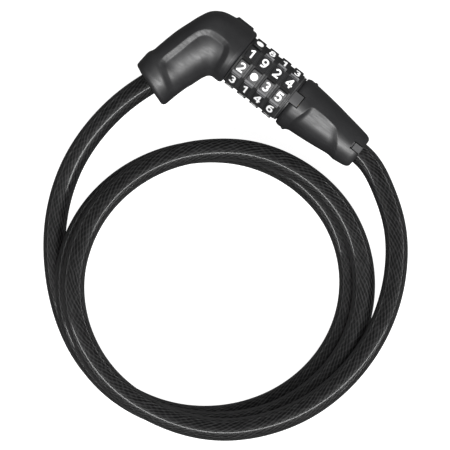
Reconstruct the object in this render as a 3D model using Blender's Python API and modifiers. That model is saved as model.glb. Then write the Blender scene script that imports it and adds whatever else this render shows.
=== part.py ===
"""Four-dial combination cable lock, shut and lying on its back with its cable coiled.

Design frame: the dials turn about the X axis, +X towards the plug, +Y away from
the coil, +Z up, in millimetres. Everything is parented to one empty, which moves
the design frame so that the row's origin is at the bottom centre of the lock head.
"""

import math

import bmesh
import bpy
import numpy as np
from mathutils import Matrix, Vector

MM = 0.001
GAP = 0.3  # running and assembly clearance

# Where the row's origin lies in the design frame: bottom centre of the head's box
ORIGIN = (3.15, -14.1, -17.0)

# Dials
DIAL_PITCH = 8.65
DIAL_WIDTH = 8.35
FIRST_DIAL_X = -13.4
DIAL_DRUM_R = 14.2
DIAL_PAD_R = 15.25  # from the axis to the middle of each flat pad
DIAL_PAD_WIDTH = 5.9
DIAL_SLOT_WIDTH = 2.0
DIAL_BORE_R = 11.3
DIALS = 4
PADS = 10
ROLL = math.radians(4.0)  # the index line leans 4 degrees from straight up
DIAL_X = [FIRST_DIAL_X + i * DIAL_PITCH for i in range(DIALS)]

# Code rings and core
RING_R = 11.0
RING_WIDTH = 6.0
CORE_R = 8.0
CORE_BORE_R = 5.6
CORE_START, CORE_MOUTH = -37.0, 26.3
CORE_RUN_R = CORE_R + GAP  # bore of everything that sits on the core

# Bolt
BOLT_R = 5.0
BOLT_TIP, BOLT_ROOT = -19.3, 41.0
LUG_R = 9.4
LUG_THICK = 2.0
LUG_WIDTH = 2.0
KEYWAY = LUG_WIDTH + 2 * GAP

# Collar, tab and plug
WASHER = (17.0, 17.5, 14.35)
COLLAR = (17.8, 18.7, 14.2)
TAB_END_X = 23.65
TAB_WIDTH = 7.15
RESET = (19.0, 23.8, 11.6)
CLIP = (24.3, 25.2, 9.9)
SLEEVE_FRONT, SLEEVE_REAR = 19.0, 66.3

# Cable
CABLE_R = 6.2
JACKET_WALL = 1.7
STEEL_R = 4.0
LAYER_0 = CABLE_R + 0.2  # height of the lowest strand's centre above the rest plane
LAYER = 12.7  # rise from one strand to the one lying on it
COIL_CENTRE = (48.6, -107.0)
ARM = Vector((0.326, 0.945, 0.0)).normalized()  # up the elbow's arm
ARM_EXIT = Vector((-48.7, -42.1, 0.0))  # where the cable leaves the elbow

# ---------------------------------------------------------------- scene and materials

for old in list(bpy.data.objects):
    bpy.data.objects.remove(old, do_unlink=True)

parts = bpy.data.collections.new("cable_lock")
cutters = bpy.data.collections.new("cutters")
bpy.context.scene.collection.children.link(parts)
bpy.context.scene.collection.children.link(cutters)

frame = bpy.data.objects.new("lock_frame", None)
frame.location = [-c * MM for c in ORIGIN]
parts.objects.link(frame)


def material(name, colour, roughness, metallic=0.0):
    made = bpy.data.materials.new(name)
    made.use_nodes = True
    shader = made.node_tree.nodes["Principled BSDF"]
    shader.inputs["Base Color"].default_value = (*colour, 1.0)
    shader.inputs["Roughness"].default_value = roughness
    shader.inputs["Metallic"].default_value = metallic
    return made


housing_mat = material("housing", (0.022, 0.022, 0.024), 0.5)
tab_mat = material("index_tab", (0.07, 0.07, 0.072), 0.5)
dial_mat = material("dial", (0.02, 0.02, 0.021), 0.45)
jacket_mat = material("jacket", (0.02, 0.02, 0.022), 0.2)
steel_mat = material("steel", (0.55, 0.55, 0.56), 0.35, 1.0)
brass_mat = material("brass", (0.72, 0.55, 0.28), 0.35, 1.0)
zinc_mat = material("zinc", (0.45, 0.45, 0.46), 0.45, 1.0)


def place(name, mesh, finish=None, cutter=False):
    """A new object in the design frame: a part, or a cutter that is never built."""
    made = bpy.data.objects.new(name, mesh)
    (cutters if cutter else parts).objects.link(made)
    made.parent = frame
    if cutter:
        made.hide_render = True
        made.display_type = "WIRE"
    elif finish is not None:
        mesh.materials.clear()
        mesh.materials.append(finish)
    return made


def settle(piece):
    """Turns a piece's modifiers into plain mesh, closed and with its faces out."""
    bpy.context.view_layer.update()
    graph = bpy.context.evaluated_depsgraph_get()
    mesh = bpy.data.meshes.new_from_object(piece.evaluated_get(graph), depsgraph=graph)
    shape = bmesh.new()
    shape.from_mesh(mesh)
    bmesh.ops.remove_doubles(shape, verts=shape.verts, dist=1e-6)
    bmesh.ops.recalc_face_normals(shape, faces=shape.faces)
    shape.to_mesh(mesh)
    shape.free()
    piece.modifiers.clear()
    piece.data = mesh
    return piece


def smooth(piece, degrees=35):
    piece.data.shade_smooth()
    piece.data.set_sharp_from_angle(angle=math.radians(degrees))
    return piece


def turned(name, profile, segments=36, finish=None, cutter=False, solid=False, turn=0.0):
    """A profile of (x, r) turned about the X axis. A solid one starts and ends on it."""
    mesh = bpy.data.meshes.new(name)
    points = [
        (x * MM, r * MM * math.sin(turn), r * MM * math.cos(turn)) for x, r in profile
    ]
    edges = [(i, i + 1) for i in range(len(points) - 1)]
    if not solid:
        edges.append((len(points) - 1, 0))
    mesh.from_pydata(points, edges, [])
    made = place(name, mesh, finish, cutter)
    screw = made.modifiers.new("turn", "SCREW")
    screw.axis = "X"
    screw.angle = 2 * math.pi
    screw.steps = screw.render_steps = segments
    screw.use_merge_vertices = True
    screw.merge_threshold = 1e-6
    return smooth(settle(made))


def ring(name, x0, x1, inner, outer, **options):
    return turned(name, [(x0, inner), (x0, outer), (x1, outer), (x1, inner)], **options)


def block(name, low, high, finish=None, cutter=False, roll=0.0):
    """A box between two corners, rolled about the X axis from +Z towards +Y."""
    shape = bmesh.new()
    bmesh.ops.create_cube(shape, size=1.0)
    size = Vector(high) - Vector(low)
    middle = (Vector(high) + Vector(low)) / 2
    bmesh.ops.scale(shape, vec=size * MM, verts=shape.verts)
    bmesh.ops.translate(shape, vec=middle * MM, verts=shape.verts)
    bmesh.ops.rotate(shape, cent=(0, 0, 0), matrix=Matrix.Rotation(-roll, 3, "X"), verts=shape.verts)
    mesh = bpy.data.meshes.new(name)
    shape.to_mesh(mesh)
    shape.free()
    return place(name, mesh, finish, cutter)


def rod(name, start, end, radius, sides=24, finish=None, cutter=False):
    """A round bar between two points."""
    start, end = Vector(start), Vector(end)
    shape = bmesh.new()
    turn = (end - start).to_track_quat("Z", "Y").to_matrix().to_4x4()
    move = Matrix.Translation((start + end) / 2 * MM)
    bmesh.ops.create_cone(
        shape,
        cap_ends=True,
        segments=sides,
        radius1=radius * MM,
        radius2=radius * MM,
        depth=(end - start).length * MM,
        matrix=move @ turn,
    )
    mesh = bpy.data.meshes.new(name)
    shape.to_mesh(mesh)
    shape.free()
    made = place(name, mesh, finish, cutter)
    return smooth(made)


def several(name, makers, finish=None, cutter=True):
    """One mesh out of several helper pieces that don't touch each other."""
    shape = bmesh.new()
    for made in makers:
        shape.from_mesh(made.data)
        bpy.data.objects.remove(made, do_unlink=True)
    mesh = bpy.data.meshes.new(name)
    shape.to_mesh(mesh)
    shape.free()
    return place(name, mesh, finish, cutter)


def boolean(piece, other, operation="DIFFERENCE"):
    step = piece.modifiers.new(other.name, "BOOLEAN")
    step.operation = operation
    step.solver = "EXACT"
    step.object = other
    return piece


# ---------------------------------------------------------------- shared cutters

# The lugs' way out: a slot along the bottom of the core and all that sits on it
keyway = block(
    "keyway_cutter",
    (BOLT_TIP - 0.6, -KEYWAY / 2, -LUG_R - GAP),
    (CORE_MOUTH + 2, KEYWAY / 2, -CORE_BORE_R + 2.2),
    cutter=True,
)

# ---------------------------------------------------------------- dials

drum = turned(
    "dial_1",
    [
        (-DIAL_WIDTH / 2, DIAL_BORE_R),
        (-DIAL_WIDTH / 2, DIAL_DRUM_R),
        (DIAL_WIDTH / 2, DIAL_DRUM_R),
        (DIAL_WIDTH / 2, DIAL_BORE_R),
    ],
    segments=20,
    finish=dial_mat,
    turn=ROLL + math.radians(9),
)
# A ten-sided belt round the drum, with a slot at each of its corners, leaves flat pads
belt_r = DIAL_PAD_R / math.cos(math.pi / PADS)
belt = turned(
    "dial_belt",
    [
        (-DIAL_PAD_WIDTH / 2, 12.8),
        (-DIAL_PAD_WIDTH / 2, belt_r),
        (DIAL_PAD_WIDTH / 2, belt_r),
        (DIAL_PAD_WIDTH / 2, 12.8),
    ],
    segments=PADS,
    cutter=True,
    turn=ROLL,
)
boolean(drum, belt, "UNION")
slots = several(
    "dial_slot_cutter",
    [
        block(
            f"slot_{i}",
            (-DIAL_PAD_WIDTH / 2 - 0.5, -DIAL_SLOT_WIDTH / 2, DIAL_DRUM_R),
            (DIAL_PAD_WIDTH / 2 + 0.5, DIAL_SLOT_WIDTH / 2, DIAL_PAD_R + 1),
            cutter=True,
            roll=ROLL + math.radians(36 * i),
        )
        for i in range(PADS)
    ],
)
settle(boolean(drum, slots))
drum.data.materials.clear()
drum.data.materials.append(dial_mat)
drum.location.x = DIAL_X[0] * MM
for i in range(1, DIALS):
    copy = place(f"dial_{i + 1}", drum.data)
    copy.location.x = DIAL_X[i] * MM

# Each code ring has ten click notches and, at the bottom, the gate for its lug
code = ring(
    "code_ring_1", -RING_WIDTH / 2, RING_WIDTH / 2, CORE_RUN_R, RING_R, segments=20, finish=brass_mat
)
clicks = several(
    "click_cutter",
    [
        block(
            f"click_{i}",
            (-RING_WIDTH / 2 - 1, -0.7, CORE_R - 1),
            (RING_WIDTH / 2 + 1, 0.7, CORE_RUN_R + 0.55),
            cutter=True,
            roll=math.radians(36 * i),
        )
        for i in range(PADS)
    ],
)
boolean(code, clicks)
boolean(code, keyway)
settle(code)
code.data.materials.clear()
code.data.materials.append(brass_mat)
code.location.x = DIAL_X[0] * MM
for i in range(1, DIALS):
    copy = place(f"code_ring_{i + 1}", code.data)
    copy.location.x = DIAL_X[i] * MM

# ---------------------------------------------------------------- core and what sits on it

core = turned(
    "core_tube",
    [
        (CORE_START, CORE_BORE_R),
        (CORE_START, CORE_R),
        (CLIP[0] - GAP, CORE_R),
        (CLIP[0] - GAP, 7.3),
        (CLIP[1] + GAP, 7.3),
        (CLIP[1] + GAP, CORE_R),
        (CORE_MOUTH - 0.5, CORE_R),
        (CORE_MOUTH, CORE_R - 0.5),
        (CORE_MOUTH, CORE_BORE_R),
    ],
    segments=20,
    finish=steel_mat,
)
boolean(core, keyway)
LEAF = (FIRST_DIAL_X - 5.2, DIAL_X[-1] + 3.9)
boolean(core, block("leaf_groove_cutter", (LEAF[0] - GAP, -2.3, 7.15), (LEAF[1] + GAP, 2.3, 9.0), cutter=True))
CORE_PIN_X = -34.0
pin_hole = rod("core_pin_cutter", (CORE_PIN_X, 0, -14), (CORE_PIN_X, 0, 14), 1.25 + GAP, sides=12, cutter=True)
boolean(core, pin_hole)
rod("core_pin", (CORE_PIN_X, 0, -10.4), (CORE_PIN_X, 0, 10.4), 1.25, sides=12, finish=steel_mat)

# Leaf spring in the core's top groove, with one click bump under each code ring
leaf = block("detent_leaf", (LEAF[0], -1.9, 7.45), (LEAF[1], 1.9, 7.75), finish=steel_mat)
for i, x in enumerate(DIAL_X):
    bump = rod(f"leaf_bump_{i + 1}", (x, -1.7, 7.45), (x, 1.7, 7.45), 0.6, sides=12, cutter=True)
    boolean(leaf, bump, "UNION")
boolean(leaf, block("leaf_under_cutter", (LEAF[0] - 1, -3, 6), (LEAF[1] + 1, 3, 7.45), cutter=True))

washer = ring("end_washer", WASHER[0], WASHER[1], CORE_RUN_R, WASHER[2], segments=24, finish=steel_mat)
boolean(washer, keyway)

collar = ring("index_collar", COLLAR[0], COLLAR[1], CORE_RUN_R, COLLAR[2], segments=24, finish=tab_mat)
tab = block(
    "index_tab_union",
    (COLLAR[0] + 0.1, -TAB_WIDTH / 2, RESET[2] + GAP),
    (TAB_END_X, TAB_WIDTH / 2, 14.8),
    cutter=True,
    roll=ROLL,
)
boolean(collar, tab, "UNION")
boolean(collar, keyway)

reset = ring("reset_sleeve", RESET[0], RESET[1], CORE_RUN_R, RESET[2], segments=20, finish=brass_mat)
boolean(reset, keyway)
for side in (-1, 1):
    edge = sorted((side * 10.2, side * 13.0))
    grip = block(f"reset_grip_{'near' if side < 0 else 'far'}_cutter", (RESET[1] - 1.6, edge[0], -1.4), (RESET[1] + 1, edge[1], 1.4), cutter=True)
    boolean(reset, grip)

clip = ring("retaining_ring", CLIP[0], CLIP[1], 7.65, CLIP[2], segments=20, finish=steel_mat)
boolean(clip, block("clip_gap_cutter", (CLIP[0] - 1, -2.2, -12), (CLIP[1] + 1, 2.2, -6), cutter=True))

# Ejector spring between the core pin and the bolt's tip
turns, wire, radius = 3.5, 0.6, 4.2
spring_x = (CORE_PIN_X + 1.25 + GAP + wire, BOLT_TIP - GAP - wire)
spring = bpy.data.curves.new("ejector_spring", "CURVE")
spring.dimensions = "3D"
spring.bevel_depth = wire * MM
spring.bevel_resolution = 2
spring.use_fill_caps = True
steps = int(turns * 8)
line = spring.splines.new("POLY")
line.points.add(steps)
for k in range(steps + 1):
    angle = 2 * math.pi * turns * k / steps
    x = spring_x[0] + (spring_x[1] - spring_x[0]) * k / steps
    line.points[k].co = (x * MM, radius * MM * math.cos(angle), radius * MM * math.sin(angle), 1.0)
spring.materials.append(steel_mat)
place("ejector_spring", spring)

# ---------------------------------------------------------------- elbow

# Each station runs across the elbow from its outer side to its inner side:
# outer x, y, inner x, y, height above and below the axis, and squareness
STATIONS = [
    (-17.9, 16.3, -17.9, -16.3, 16.3, 16.3, 2.0),
    (-18.7, 17.0, -18.7, -17.0, 17.0, 17.0, 2.0),
    (-24.5, 17.0, -21.2, -17.0, 17.0, 17.0, 2.05),
    (-33.5, 16.6, -23.2, -17.0, 17.0, 17.4, 2.2),
    (-41.2, 14.6, -24.6, -17.4, 17.0, 17.6, 2.35),
    (-46.0, 11.0, -25.5, -18.0, 17.0, 17.6, 2.4),
    (-49.4, 4.8, -26.2, -18.8, 16.8, 17.6, 2.45),
    (-51.7, -1.6, -26.8, -19.9, 16.4, 17.5, 2.5),
    (-53.9, -7.9, -27.6, -21.6, 15.9, 17.3, 2.5),
    (-55.7, -14.8, -28.5, -24.3, 15.3, 16.9, 2.5),
    (-57.0, -20.9, -29.6, -27.6, 14.6, 16.0, 2.5),
    (-58.2, -26.2, -31.0, -31.2, 14.0, 14.9, 2.5),
    (-59.5, -28.6, -31.9, -34.4, 13.8, 14.2, 2.45),
    (-60.0, -33.2, -33.0, -39.0, 13.4, 13.6, 2.4),
    (-60.1, -36.6, -33.9, -43.0, 12.9, 13.0, 2.3),
    (-59.2, -38.0, -34.9, -45.4, 12.2, 12.2, 2.2),
    (-57.4, -38.8, -36.4, -46.1, 10.6, 10.6, 2.1),
]
WALL = 2.2


def loft(name, stations, sides=24, finish=None, cutter=False):
    shape = bmesh.new()
    rings = []
    for ox, oy, ix, iy, up, down, square in stations:
        middle = Vector(((ox + ix) / 2, (oy + iy) / 2, 0))
        half = Vector(((ox - ix) / 2, (oy - iy) / 2, 0))
        around = []
        for k in range(sides):
            angle = 2 * math.pi * k / sides
            c, s = math.cos(angle), math.sin(angle)
            across = math.copysign(abs(c) ** (2 / square), c)
            rise = math.copysign(abs(s) ** (2 / square), s) * (up if s > 0 else down)
            around.append(shape.verts.new((middle + half * across + Vector((0, 0, rise))) * MM))
        rings.append(around)
    for one, two in zip(rings, rings[1:]):
        for k in range(sides):
            n = (k + 1) % sides
            shape.faces.new((one[k], one[n], two[n], two[k]))
    shape.faces.new(rings[0])
    shape.faces.new(rings[-1])
    bmesh.ops.recalc_face_normals(shape, faces=shape.faces)
    mesh = bpy.data.meshes.new(name)
    shape.to_mesh(mesh)
    shape.free()
    return smooth(place(name, mesh, finish, cutter), 30)


def hollow(stations):
    """The same sections, each smaller by the wall, ending short of both end faces."""
    inside = []
    for ox, oy, ix, iy, up, down, square in stations:
        outer, inner = Vector((ox, oy)), Vector((ix, iy))
        step = (outer - inner).normalized() * WALL
        outer, inner = outer - step, inner + step
        inside.append((*outer, *inner, up - WALL, down - WALL, square))
    return inside


end = 3.0 * ARM
cavity = loft(
    "elbow_cavity_cutter",
    hollow(
        [(-20.2, 17.0, -20.2, -17.0, 17.0, 17.0, 2.0)]
        + STATIONS[2:14]
        + [(-57.4 + end.x, -38.8 + end.y, -36.4 + end.x, -46.1 + end.y, 12.9, 12.9, 2.3)]
    ),
    cutter=True,
)
side_pad = block("side_pad_union", (-32.4, 15.4, -7.0), (-22.0, 18.05, 7.0), cutter=True)
core_door = rod("elbow_core_cutter", (-24, 0, 0), (-15, 0, 0), 10.0, sides=24, cutter=True)
cable_door = rod("elbow_cable_cutter", ARM_EXIT - 6 * ARM, ARM_EXIT + 6 * ARM, CABLE_R + 0.4, sides=16, cutter=True)
under = block("rest_plane_cutter", (-80, -60, -30), (0, 40, -17.0), cutter=True)
for name, low, high in (
    ("elbow_front_shell", -40, GAP / 2),
    ("elbow_back_shell", -GAP / 2, 40),
):
    shell = loft(name, STATIONS, finish=housing_mat)
    boolean(shell, side_pad, "UNION")
    boolean(shell, cavity)
    boolean(shell, core_door)
    boolean(shell, cable_door)
    if name == "elbow_back_shell":
        boolean(shell, under)
    boolean(shell, block(f"{name}_split_cutter", (-90, -70, low), (10, 50, high), cutter=True))

# Cast block: a socket for the core and, along the arm, one for the cable's ferrule
cast = rod("elbow_block", (-38.5, 0, 0), (-20.6, 0, 0), 11.4, sides=24, finish=zinc_mat)
boolean(cast, rod("block_arm_union", ARM_EXIT + 5.5 * ARM, ARM_EXIT + 37 * ARM, 9.2, sides=20, cutter=True), "UNION")
boolean(cast, rod("core_socket_cutter", (CORE_START - 0.6, 0, 0), (-10, 0, 0), CORE_R + GAP, sides=20, cutter=True))
FERRULE_R = 6.2
ferrule_low, ferrule_high = ARM_EXIT + 5.4 * ARM, ARM_EXIT + 22.5 * ARM
boolean(cast, rod("ferrule_socket_cutter", ARM_EXIT, ferrule_high + 0.4 * ARM, FERRULE_R + GAP, sides=20, cutter=True))
boolean(cast, pin_hole)
ACROSS = Vector((ARM.y, -ARM.x, 0))
PIN_R = 1.25
pin_at = ARM_EXIT + 13 * ARM + (5.0 + GAP + PIN_R) * ACROSS
up = Vector((0, 0, 1))
boolean(cast, rod("ferrule_pin_elbow_cutter", pin_at - 12 * up, pin_at + 12 * up, PIN_R + GAP, sides=12, cutter=True))
rod("ferrule_pin_elbow", pin_at - 6.0 * up, pin_at + 6.0 * up, PIN_R, sides=12, finish=steel_mat)


def ferrule(name, length):
    """A crimped cup along +X from x = 0, open at x = 0, with a groove for its pin."""
    groove = 9.0 if length > 15 else 7.6
    made = turned(
        name,
        [
            (0, STEEL_R + GAP),
            (0, FERRULE_R),
            (groove - 1.6, FERRULE_R),
            (groove - 1.6, 5.0),
            (groove + 1.6, 5.0),
            (groove + 1.6, FERRULE_R),
            (length, FERRULE_R),
            (length, 2.0),
            (length - 1.5, 2.0),
            (length - 1.5, STEEL_R + GAP),
        ],
        segments=16,
        finish=steel_mat,
    )
    return made, groove


elbow_ferrule, groove = ferrule("ferrule_elbow", (ferrule_high - ferrule_low).length)
elbow_ferrule.rotation_euler.z = math.atan2(ARM.y, ARM.x)
elbow_ferrule.location = (ARM_EXIT + (13 - groove) * ARM) * MM

# ---------------------------------------------------------------- plug

sleeve = turned(
    "plug_sleeve",
    [
        (SLEEVE_FRONT, 12.1),
        (SLEEVE_FRONT, 14.5),
        (20.2, 15.3),
        (23.7, 15.35),
        (28.6, 14.9),
        (35.8, 14.3),
        (42.6, 13.6),
        (49.5, 12.5),
        (56.4, 11.7),
        (63.2, 10.7),
        (65.6, 9.6),
        (SLEEVE_REAR, 8.3),
        (SLEEVE_REAR, CABLE_R + 0.4),
        (60.2, CABLE_R + 0.4),
        (60.2, 9.2),
        (49.0, 9.7),
        (39.0, 12.1),
    ],
    segments=28,
    finish=housing_mat,
)
# A small round nub on each side of the sleeve
for side in (1, -1):
    nub = rod(f"nub_{side}", (24.4, side * 14.2, 0), (24.4, side * 15.95, 0), 1.15, sides=10, cutter=True)
    boolean(sleeve, nub, "UNION")
notch = block(
    "tab_notch_cutter",
    (SLEEVE_FRONT - 2, -TAB_WIDTH / 2 - 0.37, 9.0),
    (25.0, TAB_WIDTH / 2 + 0.37, 19.0),
    cutter=True,
    roll=ROLL,
)
boolean(sleeve, notch)
boolean(sleeve, block("snap_window_cutter", (60.1, -1.4, 7.4), (68, 3.05, 14), cutter=True))

insert = turned(
    "plug_insert",
    [
        (27.6, BOLT_R + GAP),
        (27.6, 11.2),
        (28.2, 11.8),
        (38.4, 11.8),
        (48.6, 9.4),
        (59.9, 8.9),
        (59.9, FERRULE_R + GAP),
        (44.5, FERRULE_R + GAP),
        (44.5, 2.2),
        (41.3, 2.2),
        (41.3, BOLT_R + GAP),
    ],
    segments=20,
    finish=zinc_mat,
)
boolean(insert, block("snap_tab_union", (57.5, -1.1, 7.75), (65.9, 2.75, 8.6), cutter=True), "UNION")
boolean(insert, block("snap_peg_union", (61.2, -1.1, 8.1), (65.8, 2.75, 10.3), cutter=True), "UNION")
BOLT_PIN_X = 34.5
bolt_pin_hole = rod("bolt_pin_cutter", (BOLT_PIN_X, 0, -14), (BOLT_PIN_X, 0, 14), PIN_R + GAP, sides=12, cutter=True)
boolean(insert, bolt_pin_hole)
FERRULE_PIN_X = 51.5
ferrule_pin_y = 5.0 + GAP + PIN_R
boolean(
    insert,
    rod("ferrule_pin_plug_cutter", (FERRULE_PIN_X, ferrule_pin_y, -12), (FERRULE_PIN_X, ferrule_pin_y, 12), PIN_R + GAP, sides=12, cutter=True),
)

bolt = turned(
    "locking_bolt",
    [
        (BOLT_TIP, 0),
        (BOLT_TIP, BOLT_R - 1.2),
        (BOLT_TIP + 1.2, BOLT_R),
        (BOLT_ROOT, BOLT_R),
        (BOLT_ROOT, 0),
    ],
    segments=20,
    finish=steel_mat,
    solid=True,
)
for i, x in enumerate(DIAL_X):
    middle = x - DIAL_PITCH / 2
    lug = block(
        f"lug_{i + 1}_union",
        (middle - LUG_THICK / 2, -LUG_WIDTH / 2, -LUG_R),
        (middle + LUG_THICK / 2, LUG_WIDTH / 2, -2.0),
        cutter=True,
    )
    boolean(bolt, lug, "UNION")
boolean(bolt, bolt_pin_hole)
rod("bolt_pin", (BOLT_PIN_X, 0, -11.2), (BOLT_PIN_X, 0, 11.2), PIN_R, sides=12, finish=steel_mat)
rod("ferrule_pin_plug", (FERRULE_PIN_X, ferrule_pin_y, -5.4), (FERRULE_PIN_X, ferrule_pin_y, 5.4), PIN_R, sides=12, finish=steel_mat)

plug_ferrule, groove = ferrule("ferrule_plug", 14.2)
plug_ferrule.rotation_euler.z = math.pi
plug_ferrule.location.x = (FERRULE_PIN_X + groove) * MM

# ---------------------------------------------------------------- cable

# The cable's route round the coil: angle clockwise from +Y about the coil's centre
# (counting down through almost three turns), radius, and height above the rest plane
L0, L1, L2 = LAYER_0, LAYER_0 + LAYER, LAYER_0 + 2 * LAYER
ROUTE = [
    (297.8, 114.2, 16.6), (285.8, 108.8, 14.2), (273.8, 103.6, 11.0), (261.8, 98.2, 8.2),
    (249.8, 93.0, L0 + 0.4), (237.8, 88.5, L0), (225.8, 85.3, L0), (213.8, 83.2, L0),
    (201.8, 81.6, L0), (189.8, 79.8, L0), (177.8, 77.6, L0), (159.8, 74.8, L0),
    (141.8, 72.9, L0), (117.8, 72.2, L0), (93.8, 73.2, L0), (69.8, 74.8, L0),
    (45.8, 75.8, L0), (21.8, 75.8, L0), (-2.2, 74.8, L0), (-26.2, 74.3, L0),
    (-38.2, 74.3, L0 + 0.2), (-50.2, 74.8, L0 + 1.1), (-74.2, 76.9, L0 + 4.1),
    (-98.2, 79.7, L0 + 8.1), (-110.2, 80.8, L0 + 10.1), (-122.2, 81.4, L0 + 11.6),
    (-134.2, 81.3, L1 - 0.3), (-146.2, 81.0, L1), (-164.2, 79.8, L1), (-182.2, 77.8, L1),
    (-218.2, 75.4, L1), (-242.2, 77.0, L1), (-266.2, 79.4, L1), (-290.2, 81.8, L1),
    (-314.2, 82.5, L1), (-338.2, 81.4, L1), (-362.2, 78.6, L1), (-386.2, 76.0, L1),
    (-398.2, 74.8, L1 + 0.2), (-410.2, 74.4, L1 + 1.1), (-434.2, 74.6, L1 + 4.1),
    (-458.2, 75.7, L1 + 8.1), (-470.2, 76.2, L1 + 10.1), (-482.2, 76.7, L1 + 11.6),
    (-494.2, 76.8, L2 - 0.3), (-506.2, 76.7, L2), (-530.2, 76.2, L2), (-554.2, 75.8, L2),
    (-578.2, 77.8, L2), (-602.2, 80.7, L2), (-614.2, 82.9, L2 - 0.1), (-638.2, 88.4, L2 - 1.4),
    (-650.2, 92.0, L2 - 3.2), (-662.2, 96.1, L2 - 5.6), (-674.2, 100.4, L2 - 8.4),
    (-686.2, 104.5, L2 - 11.0), (-698.2, 107.3, L2 - 13.2),
]
TAIL_FROM = -614.2  # here the cable runs across the plug's travel, so its end moves with the plug


def on_route(angle, radius, height):
    turn = math.radians(angle)
    return Vector(
        (
            COIL_CENTRE[0] + radius * math.sin(turn),
            COIL_CENTRE[1] + radius * math.cos(turn),
            height + ORIGIN[2],
        )
    )


JACKET_START = ARM_EXIT + 3.6 * ARM
JACKET_END = Vector((60.6, 0, 0))
knots = [JACKET_START, ARM_EXIT + 1.0 * ARM, ARM_EXIT - 4.0 * ARM]
knots += [on_route(*step) for step in ROUTE]
knots += [Vector((71.5, -0.5, 0.1)), Vector((66.0, 0, 0)), JACKET_END]
cut_knot = 3 + [step[0] for step in ROUTE].index(TAIL_FROM)


def smooth_curve(points, per_span=24):
    """Points along the natural cubic spline through the given ones, by chord length."""
    p = np.array([tuple(v) for v in points])
    gaps = np.linalg.norm(np.diff(p, axis=0), axis=1)
    n = len(p)
    system = np.zeros((n, n))
    right = np.zeros((n, 3))
    system[0, 0] = system[-1, -1] = 1.0
    for i in range(1, n - 1):
        system[i, i - 1 : i + 2] = gaps[i - 1], 2 * (gaps[i - 1] + gaps[i]), gaps[i]
        right[i] = 6 * ((p[i + 1] - p[i]) / gaps[i] - (p[i] - p[i - 1]) / gaps[i - 1])
    bend = np.linalg.solve(system, right)
    line = [p[0]]
    marks = [0]
    for i, gap in enumerate(gaps):
        for k in range(1, per_span + 1):
            b = k / per_span * gap
            a = gap - b
            line.append(
                (bend[i] * a**3 + bend[i + 1] * b**3) / (6 * gap)
                + (p[i] / gap - bend[i] * gap / 6) * a
                + (p[i + 1] / gap - bend[i + 1] * gap / 6) * b
            )
        marks.append(len(line) - 1)
    return np.array(line), marks


def evenly(line, count):
    """The line read again at equal distances along it."""
    run = np.concatenate([[0], np.cumsum(np.linalg.norm(np.diff(line, axis=0), axis=1))])
    at = np.linspace(0, run[-1], count)
    return np.stack([np.interp(at, run, line[:, c]) for c in range(3)], axis=1)


line, marks = smooth_curve(knots)
cut = marks[cut_knot]
main_line = evenly(line[: cut + 1], 60)
tail_line = evenly(line[cut:], 17)
# The two stretches meet face to face, with the usual gap between square ends
along = line[cut + 1] - line[cut - 1]
along /= np.linalg.norm(along)
main_line = np.concatenate(
    [main_line[:-1], [line[cut] - 3.0 * along, line[cut] - GAP / 2 * along]]
)
tail_line = np.concatenate(
    [[line[cut] + GAP / 2 * along, line[cut] + 3.0 * along], tail_line[1:]]
)


def tube(name, points, radius, caps=True, finish=None):
    curve = bpy.data.curves.new(name, "CURVE")
    curve.dimensions = "3D"
    curve.bevel_depth = radius * MM
    curve.bevel_resolution = 2
    curve.use_fill_caps = caps
    spline = curve.splines.new("POLY")
    spline.points.add(len(points) - 1)
    for point, xyz in zip(spline.points, points):
        point.co = (*(float(c) * MM for c in xyz), 1.0)
    if finish is not None:
        curve.materials.append(finish)
    return place(name, curve)


def jacket(name, points):
    """A hollow tube: the curve's open skin, thickened inwards."""
    skin = tube(name + "_skin", points, CABLE_R, caps=False)
    bpy.context.view_layer.update()
    graph = bpy.context.evaluated_depsgraph_get()
    mesh = bpy.data.meshes.new_from_object(skin.evaluated_get(graph), depsgraph=graph)
    bpy.data.objects.remove(skin, do_unlink=True)
    shape = bmesh.new()
    shape.from_mesh(mesh)
    bmesh.ops.remove_doubles(shape, verts=shape.verts, dist=1e-6)
    shape.to_mesh(mesh)
    shape.free()
    mesh.name = name
    made = place(name, mesh, jacket_mat)
    wall = made.modifiers.new("wall", "SOLIDIFY")
    wall.thickness = JACKET_WALL * MM
    wall.offset = -1.0
    wall.use_even_offset = True
    made.data.shade_smooth()
    return made


jacket("cable_jacket", main_line)
jacket("cable_jacket_tail", tail_line)
into_elbow = np.array([tuple(ARM_EXIT + 19.0 * ARM)])
into_plug = np.array([(47.3, 0.0, 0.0)])
tube("steel_cable", np.concatenate([into_elbow, main_line]), STEEL_R, finish=steel_mat)
tube("steel_cable_tail", np.concatenate([tail_line, into_plug]), STEEL_R, finish=steel_mat)
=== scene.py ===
"""Combination cable lock: the visual model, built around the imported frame.

Lengths in the tables are millimetres in the lock's own frame (dials turning about the
X axis, +X towards the plug, +Z up from the surface); at() moves them into the row frame.
"""

import math

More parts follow.
